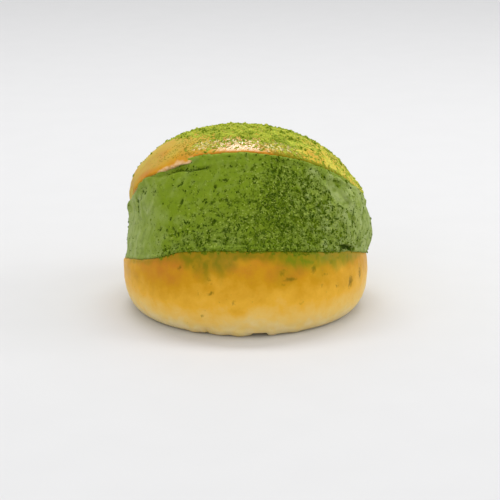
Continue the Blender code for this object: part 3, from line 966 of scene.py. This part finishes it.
def shape_cream(sizes):
    cream = fine_copy("cream", "cream_filling", sizes.detail, CREAM_PART_KEPT)
    place = Place(cream)
    outward = np.stack([place.x, place.y, np.zeros(len(place.x))], axis=1)
    outward /= np.maximum(np.linalg.norm(outward, axis=1), 0.001)[:, None]
    normals = read_vectors(cream.data.vertex_normals, "vector")
    facing = rise((normals * outward).sum(axis=1), 0.25, 0.35)
    off_middle = np.abs(place.share - 0.5)
    push(cream, sizes.press / MM, rise(off_middle, 0.44, 0.05))
    soften(cream, rise(off_middle, 0.42, 0.05) * fall(place.x, -24, 8), 14)
    place = Place(cream)
    x, y, share, gap = place.x, place.y, place.share, place.gap

    from_edge = (0.5 - np.abs(share - 0.5)) * gap
    over_crease = (share - np.interp(x, CREASE_X, CREASE_SHARE)) * gap
    crease = hump(over_crease / 0.8) * between(x, -31, -13.5, 3) * facing
    scooped = between(x, -27, -16.5, 3) * rise(over_crease, -0.2, 0.9)
    near_front = rise((place.points * outward).sum(axis=1), 26, 4) * (y < 5)
    lip = between(x, -14, -2, 4) * facing
    # Paler sides: partly the cream's own tone, partly painted sheen of grazing light.
    side = most(fall(x, -21.5, 19.5), rise(x, 14, 29), rise(y, -8, 10) * 0.8)
    streaky = mottle(np.stack([place.round / 5.0, share * 1.4, share * 0], axis=1), 1.0, 3)
    smear = smear_of(place)
    marks = cream_marks(place)
    up = share * gap
    pocket = smooth(2.2 * mark(x - 34.2, up - 1.05, 2.4, 0.9, 12)) * (y < 0)
    shadow = pocket * (0.40 + 0.45 * rise(up - 0.1 * (34.2 - x), 0.7, 0.8))
    on_right = rise(x, 12, 14) * fall(y, 8, 8) * (1 - smear)
    open_face = rise(from_edge, 0, 1.6)
    folds = mottle(place.points * (1, 1, 0.6), 2.3, 23) * on_right * open_face
    broad = mottle(place.points * (1, 1, 0.85), 3.6, 24) * fall(x, -10, 14)
    dust = cream_dust(place) * facing
    patches = 0.58 * patches_of(dust, spread_of(place.points * (1, 1, 0.75), 1.15, 40))
    patches = patches + 0.42 * dust * (1 - 0.6 * rise(x, 27, 7))
    ridge_share = np.interp(x, (24, 27, 32, 36.8, 39.9), (0.96, 0.93, 0.92, 0.93, 0.87))
    ridge = hump((share - ridge_share) * gap / 1.4) * between(x, 27, 40, 3)

    # Painted highlight: the upper left end of the lip is made paler where it catches the light.
    lip_end_highlight = bulge(x, -17.5, 4.5) * bulge(share, 0.955, 0.04)
    low_light = between(x, -27, -4, 6) * fall(share, 0.45, 0.35)
    pale = side * 0.9 + streaky * 0.12 * side + smear * 0.9 + lip_end_highlight * 0.8 + low_light * 0.12
    pale = pale + ridge * 0.35 + 1.2 * folds + 0.50 * broad + 0.22 * rise(x, 29, 7)
    pale = pale + 0.13 * between(x, 15, 29, 5) - 0.11 * between(x, -36, -25, 5)
    band_share = np.interp(x, (14, 20, 30, 37, 40), (0.95, 0.90, 0.90, 0.92, 0.87))
    under_rim_shade = rise((share - band_share) * gap, 0.3, 0.9) * rise(x, 14, 8) * (y < 3)
    crease_shade = crease * 0.6 * rise(x, -29, 4) * (x < -12)
    # Painted shade: the recess shade darkens the pits, the pocket, the crease and the band under the cap's
    # rim, which is also made less pale.
    levels = {
        "side": pale * (1 - 0.7 * under_rim_shade),
        "lip": between(over_crease, 0.8, 9, 0.8) * between(x, -22, 6, 6),
        "dust": dust,
        "patches": patches,
        "hollows": most(marks, shadow, crease_shade, 0.20 * under_rim_shade),
    }
    store(cream, levels)

    calm = 1 - fall(x, -35, 4) * between(place.z, 27, 44, 4)
    calm_edge = 1 - 0.65 * rise(x, 34, 6)
    drawn = smooth(side * 1.5)
    push(cream, -0.8, crease)
    push(cream, 1.6, scooped * near_front, "Y")
    push(cream, 1.0, scooped * near_front, "X")
    push(cream, 0.5, between(over_crease, 1.0, 9, 0.8) * lip)
    push(cream, sizes.streak / MM, smooth(0.5 + streaky) * facing * drawn * calm)
    push(cream, -0.55, marks * facing)
    push(cream, 0.7, ridge * facing * (y < 3))
    push(cream, -0.6, smear * facing)
    rims = bulge(from_edge, 0, 1.6) * (1 - np.minimum(1.5 * scooped, 1)) * calm * (0.35 + 0.65 * drawn)
    push(cream, 0.45, rims * facing)
    push(cream, sizes.wave / MM, facing * calm, cloud=(6, 1))
    uneven = smooth(side * 2) * (1 - 0.5 * fall(x, -20, 10)) * calm_edge
    push(cream, 0.40, uneven * facing * calm, cloud=(2.8, 1))
    push(cream, 1.1, np.clip(0.35 + 0.8 * folds * calm_edge, 0, 1) * on_right * open_face * facing)
    rough = rise(x, 6, 10) * (1 - 0.6 * rise(x, 24, 6)) * facing * fall(y, 4, 8)
    push(cream, 0.60, rough * (1 - smear) * open_face * calm_edge, cloud=(1.9, 1))
    push(cream, 0.40, most(patches, dust * 0.5), cloud=(0.9, 1, "BLENDER_ORIGINAL"))
    push(cream, sizes.grain / MM, facing * calm, cloud=(1.2, 3))
    push(cream, -1.5, pocket)

    fade = rise(share, 0.45, 0.5) * fall(y, 14, 14)
    push(cream, LIFT_MOST, np.interp(x, LIFT_X, LIFT) * fade, "Z")
    push(cream, 0.5, rise(share, 0.8, 0.15) * fall(x, -29, 5) * fall(y, 16, 14) * facing)
    press_sides(cream, place, from_edge)
    left_rim = fall(x, -36, 3) * rise(share, 0.8, 0.1) * between(place.z, 22, 42, 3)
    soften(cream, left_rim, 30)
    push(cream, -0.22, left_rim, "X")
    from_blob = np.linalg.norm((place.points - BLOB) / BLOB_STRETCH, axis=1)
    push(cream, -1.3, hump(from_blob / BLOB_RADIUS), "X")
    return cream


def cream_look(sizes):
    look = Look("tea_cream", 0.55, 0.10)
    across = look.across()
    side = look.stored("side")
    dust = look.stored("dust")
    patches = look.stored("patches")

    # Paler at the sides: partly the cream's tone, partly painted sheen of grazing light.
    shade = side.shade(sizes.middle, sizes.side)
    shade = (look.stored("lip") * 0.8).shade(shade, sizes.lip)
    cloudy = look.grain(4, 3).step(0.3, 0.7)
    shade = (cloudy * 0.25).shade(shade, (0.26, 0.34, 0.03))
    strength = side.step(0.0, 0.8, 0.22, 0.52) + across.step(24 * MM, 32 * MM, 0.0, 0.22)
    dabs = look.grain(1.9, 1.5, (1, 1, 0.85), 0.4).step(0.44, 0.66)
    shade = (dabs * strength).shade(shade, (0.13, 0.19, 0.010))
    pale = look.grain(2.4, 1.5, (1, 1, 0.8), 0.4).step(0.50, 0.70)
    shade = (pale * strength * 0.7).shade(shade, (0.36, 0.43, 0.13))
    drawn = look.grain(3.4, 1, (1, 1, 0.75), 0.4).step(0.45, 0.75)
    shade = (drawn * side * 0.35).shade(shade, (0.42, 0.48, 0.22))

    film = across.step(18 * MM, 26 * MM, 1.0, 0.78)
    film = film * look.grain(2.4, 3, (1, 1, 0.6)).step(0.34, 0.66, 0.05, 1.0)
    shade = (film * (patches * 0.5 + dust * 0.5)).shade(shade, sizes.film)
    blotch = look.grain(1.2, 2, (1, 1, 0.7), 1.0).step(0.35, 0.65)
    thick = look.chance(0.40) * 0.60 + blotch * 0.40
    dark = (patches * 0.62 - thick).step(-0.10, 0.06)
    glints = look.chance(0.42, 7.0)
    shade = (dark * glints.step(0.0, 1.0, 0.55, 1.0)).shade(shade, (0.040, 0.085, 0.0005))
    lit = (patches * 0.34 - glints).step(-0.03, 0.03)
    shade = (lit * 0.70).shade(shade, (0.36, 0.44, 0.075))
    # Painted shade in the pits, the pocket, the crease and under the cap's rim.
    ragged = look.grain(0.6, 2).step(0.3, 0.7, -0.3, 0.3)
    recess_shade_level = (look.stored("hollows") + ragged).step(0.22, 0.64)
    look.set("Base Color", (recess_shade_level * 0.85).shade(shade, (0.034, 0.070, 0.0005)))

    look.set("Roughness", blotch.step(0.0, 1.0, 0.48, 0.62) + (dark | recess_shade_level) * 0.35)
    soft = look.bump(look.grain(0.7, 2), 0.00010, 0.35)
    streaks = look.bump(look.grain(3.4, 1, (1, 1, 0.5)), 0.00030, 0.25, soft)
    look.set("Normal", look.bump(thick * (patches | dust), 0.00035, 0.7, streaks))
    look.set("Subsurface Weight", 0.15)
    look.set("Subsurface Radius", (0.8, 1.0, 0.3))
    look.set("Subsurface Scale", 0.0010)
    return look


class MakeCream(bpy.types.Operator):
    """Make the cream between base and cap"""

    bl_idname = "maritozzo.make_cream"
    bl_label = "Cream"

    def execute(self, context):
        sizes = context.scene.maritozzo_cream
        finish_piece(shape_cream(sizes), cream_look(sizes), ("cream",))
        return {"FINISHED"}


# -------------------- the powder


def grain_shapes(name, kinds, subdivisions, roughness):
    """A collection of a few uneven grains, each one metre wide, to be scattered."""
    collection = bpy.data.collections.new(name)
    bpy.context.scene.collection.children.link(collection)
    for kind in range(kinds):
        bpy.ops.mesh.primitive_ico_sphere_add(subdivisions=subdivisions, radius=0.5)
        grain = bpy.context.object
        grain.name = f"{name}_{kind}"
        bpy.ops.object.mode_set(mode="EDIT")
        bpy.ops.mesh.select_all(action="SELECT")
        bpy.ops.transform.vertex_random(offset=roughness, uniform=0.6, normal=0.6, seed=kind + 3)
        bpy.ops.transform.resize(value=(1.0, 0.85 - 0.1 * (kind % 2), 0.7))
        bpy.ops.object.mode_set(mode="OBJECT")
        bpy.ops.object.shade_smooth()
        for owner in list(grain.users_collection):
            owner.objects.unlink(grain)
        collection.objects.link(grain)
    return collection


def drop_shapes(collection):
    for grain in list(collection.objects):
        bpy.data.objects.remove(grain)
    bpy.data.collections.remove(collection)


def random_number(tree, seed):
    """A random number from 0 to 1 for each grain."""
    inputs = {2: 0.0, 3: 1.0, "Seed": seed}
    return add(tree, "FunctionNodeRandomValue", inputs, 1, data_type="FLOAT")


def random_turn(tree, seed):
    """A random turn for each grain."""
    inputs = {0: (0, 0, 0), 1: (2 * pi, 2 * pi, 2 * pi), "Seed": seed}
    return add(tree, "FunctionNodeRandomValue", inputs, 0, data_type="FLOAT_VECTOR")


def scatter_tree(amount_name, density, shapes, size, spread, seed):
    """Nodes that strew grains over a surface where the stored amount is high."""
    tree = bpy.data.node_groups.new("strew", "GeometryNodeTree")
    tree.interface.new_socket("Geometry", in_out="INPUT", socket_type="NodeSocketGeometry")
    tree.interface.new_socket("Geometry", in_out="OUTPUT", socket_type="NodeSocketGeometry")
    surface = add(tree, "NodeGroupInput")
    amount = add(tree, "GeometryNodeInputNamedAttribute", {"Name": amount_name}, data_type="FLOAT")
    inputs = {"Mesh": surface, "Density": amount * density, "Seed": seed}
    points = add(tree, "GeometryNodeDistributePointsOnFaces", inputs, distribute_method="RANDOM")
    inputs = {"Collection": shapes, "Separate Children": True, "Reset Children": True}
    instance = add(tree, "GeometryNodeCollectionInfo", inputs)
    even = random_number(tree, seed + 1) ** 1.8 * spread + (1 - spread * 0.36)
    inputs = {
        "Points": points,
        "Instance": instance,
        "Pick Instance": True,
        "Rotation": random_turn(tree, seed + 2),
        "Scale": (even + random_number(tree, seed + 4) ** 14.0) * size,
    }
    grains = add(tree, "GeometryNodeInstanceOnPoints", inputs)
    inputs = {"Geometry": grains, "Name": "shade", "Value": random_number(tree, seed + 3)}
    kept = {"data_type": "FLOAT", "domain": "INSTANCE"}
    shaded = add(tree, "GeometryNodeStoreNamedAttribute", inputs, **kept)
    add(tree, "NodeGroupOutput", {0: add(tree, "GeometryNodeRealizeInstances", {"Geometry": shaded})})
    return tree


def area_total(piece, name):
    """The piece's area with each face counted by its stored amount."""
    mesh = piece.data
    starts = read(mesh.polygons, "loop_start", np.int32)
    corners = read(mesh.loops, "vertex_index", np.int32)
    corner_counts = np.diff(np.append(starts, len(corners)))
    totals = np.add.reduceat(values_of(piece, name)[corners], starts)
    return float((read(mesh.polygons, "area") * totals / corner_counts).sum())


def strew(host, name, amount_name, number, shapes, size, spread, seed, clumping, look):
    """A new piece of about that number of grains on the host's surface.

    The clumping is the width of the clumps and how sharply they stand apart.
    """
    piece = host.copy()
    piece.data = host.data.copy()
    piece.name = piece.data.name = name
    for key in list(piece.keys()):
        del piece[key]
    piece.parent = None
    bpy.context.scene.collection.objects.link(piece)
    clumps = smooth(0.5 + clumping[1] * mottle(points_of(piece), clumping[0], seed))
    store(piece, {"strewn": values_of(piece, amount_name) * clumps})
    density = number / area_total(piece, "strewn")
    modify(piece, "NODES", node_group=scatter_tree("strewn", density, shapes, size, spread, seed))
    if "strewn" in piece.data.attributes:
        piece.data.attributes.remove(piece.data.attributes["strewn"])
    finish_piece(piece, look)


def powder_look(name, dark, light, specular):
    look = Look(name, 0.85, specular)
    mixed = look.stored("shade") * 0.7 + look.grain(0.25, 2) * 0.3
    mixed = mixed + look.grain(3.2, 2).step(0.33, 0.67, -0.25, 0.25)
    look.set("Base Color", mixed.step(0.1, 0.9).shade(dark, light))
    look.set("Normal", look.bump(look.grain(0.12, 2), 0.00004, 0.5))
    return look


class MakePowder(bpy.types.Operator):
    """Strew tea powder over the cap, the cream and the base"""

    bl_idname = "maritozzo.make_powder"
    bl_label = "Powder"

    def execute(self, context):
        sizes = context.scene.maritozzo_powder
        bun = bpy.data.objects["bun_crust"]
        cream = bpy.data.objects["cream_filling"]
        dry = powder_look("dry_powder", sizes.dry_dark, sizes.dry_light, 0.05)
        moist = powder_look("moist_powder", sizes.moist_dark, sizes.moist_light, 0.04)
        fallen = powder_look("fallen_powder", sizes.moist_light, sizes.fallen_light, 0.04)
        grains = grain_shapes("grain", 4, 1, 0.16)
        lumps = grain_shapes("lump", 4, 2, 0.12)
        small, large = sizes.grain_size, sizes.lump_size
        strew(bun, "cap_powder_grains", "cap_powder", sizes.cap_grains, grains, small, 0.8, 11,
              (1.5, 0.6), dry)
        strew(bun, "cap_powder_lumps", "cap_powder", sizes.cap_lumps, lumps, large, 0.9, 21,
              (2.0, 2.0), dry)
        strew(bun, "base_powder_grains", "base_powder", sizes.base_grains, grains, small, 0.8, 31,
              (1.5, 1.5), fallen)
        strew(cream, "cream_powder_grains", "patches", sizes.cream_grains, grains, small * 0.85, 0.8, 41,
              (1.1, 2.2), moist)
        strew(cream, "cream_powder_lumps", "patches", sizes.cream_lumps, lumps, large * 0.75, 0.9, 51,
              (1.6, 2.0), moist)
        drop_shapes(grains)
        drop_shapes(lumps)
        return {"FINISHED"}


# -------------------- floor, light and camera

CAMERA_HEIGHT_ANGLE = radians(18)
CAMERA_DISTANCE = 0.6
CAMERA_AIM = Vector((0.001575, 0.00568, 0.01747))
FIELD_WIDTH = 0.179
SENSOR = 36.0

# The lamps: name, direction, distance, width and depth, and the place that they point at.
LAMPS = (
    ("key", (0.0, 0.36, 0.93), 0.9, (0.85, 0.20), (-0.003, -0.019, 0.061)),
    ("side", (0.92, 0.05, 0.40), 1.0, (0.5, 0.5), (0, 0, 0.03)),
    ("fill", (-0.25, -0.85, 0.5), 1.3, (0.9, 0.7), (0, 0, 0.03)),
)


def put(name, data, location, towards, axis):
    """Puts a lamp or a camera at a place, with its axis along a direction."""
    thing = bpy.data.objects.new(name, data)
    bpy.context.scene.collection.objects.link(thing)
    thing.location = location
    thing.rotation_euler = towards.to_track_quat(axis, "Y").to_euler()
    return thing


def add_lamp(name, direction, distance, size, aim, energy):
    lamp = bpy.data.lights.new(name, "AREA")
    lamp.shape = "ELLIPSE"
    lamp.size, lamp.size_y = size
    lamp.energy = energy
    towards = Vector(direction).normalized()
    put(name, lamp, Vector(aim) + towards * distance, towards, "Z")


class MakeStage(bpy.types.Operator):
    """Make the floor, the soft light and the camera"""

    bl_idname = "maritozzo.make_stage"
    bl_label = "Stage"

    def execute(self, context):
        sizes = context.scene.maritozzo_stage
        bpy.ops.object.select_all(action="DESELECT")
        bpy.ops.mesh.primitive_circle_add(vertices=96, radius=sizes.floor_radius, fill_type="NGON")
        floor = context.object
        floor.name = "floor"
        look = Look("floor_paint", 0.7, 0.2)
        paler = tuple(part * 0.99 for part in sizes.floor)
        look.set("Base Color", look.grain(20, 2).step(0.3, 0.7).shade(sizes.floor, paler))
        floor.data.materials.append(look.material)

        world = bpy.data.worlds.new("surroundings")
        world.use_nodes = True
        world.node_tree.nodes["Background"].inputs["Color"].default_value = (*sizes.sky, 1)
        context.scene.world = world
        context.scene.view_settings.view_transform = "Standard"
        for name, *lamp in LAMPS:
            add_lamp(name, *lamp, getattr(sizes, f"{name}_power"))

        camera = bpy.data.cameras.new("camera")
        camera.sensor_width = SENSOR
        camera.lens = SENSOR * CAMERA_DISTANCE / FIELD_WIDTH
        back = Vector((0, -cos(CAMERA_HEIGHT_ANGLE), sin(CAMERA_HEIGHT_ANGLE)))
        location = back * CAMERA_DISTANCE
        context.scene.camera = put("camera", camera, location, CAMERA_AIM - location, "-Z")
        return {"FINISHED"}


# -------------------- add-on


class MaritozzoPanel(bpy.types.Panel):
    """The maritozzo's pieces, sizes and colours."""

    bl_idname = "VIEW3D_PT_maritozzo"
    bl_label = "Maritozzo"
    bl_space_type = "VIEW_3D"
    bl_region_type = "UI"
    bl_category = "Maritozzo"

    def draw(self, context):
        for maker, group in zip(MAKERS, GROUPS):
            box = self.layout.box()
            box.operator(maker.bl_idname)
            for setting in GROUPS[group].__annotations__:
                box.prop(getattr(context.scene, group), setting)


MAKERS = (MakeCrust, MakeCream, MakePowder, MakeStage)


def register():
    for kind in (*GROUPS.values(), *MAKERS, MaritozzoPanel):
        bpy.utils.register_class(kind)
    for name, kind in GROUPS.items():
        setattr(bpy.types.Scene, name, PointerProperty(type=kind))


def unregister():
    for name in GROUPS:
        delattr(bpy.types.Scene, name)
    for kind in reversed((*GROUPS.values(), *MAKERS, MaritozzoPanel)):
        bpy.utils.unregister_class(kind)


def main():
    register()
    bpy.ops.maritozzo.make_crust()
    bpy.ops.maritozzo.make_cream()
    bpy.ops.maritozzo.make_powder()
    bpy.ops.maritozzo.make_stage()


if __name__ == "__main__":
    main()
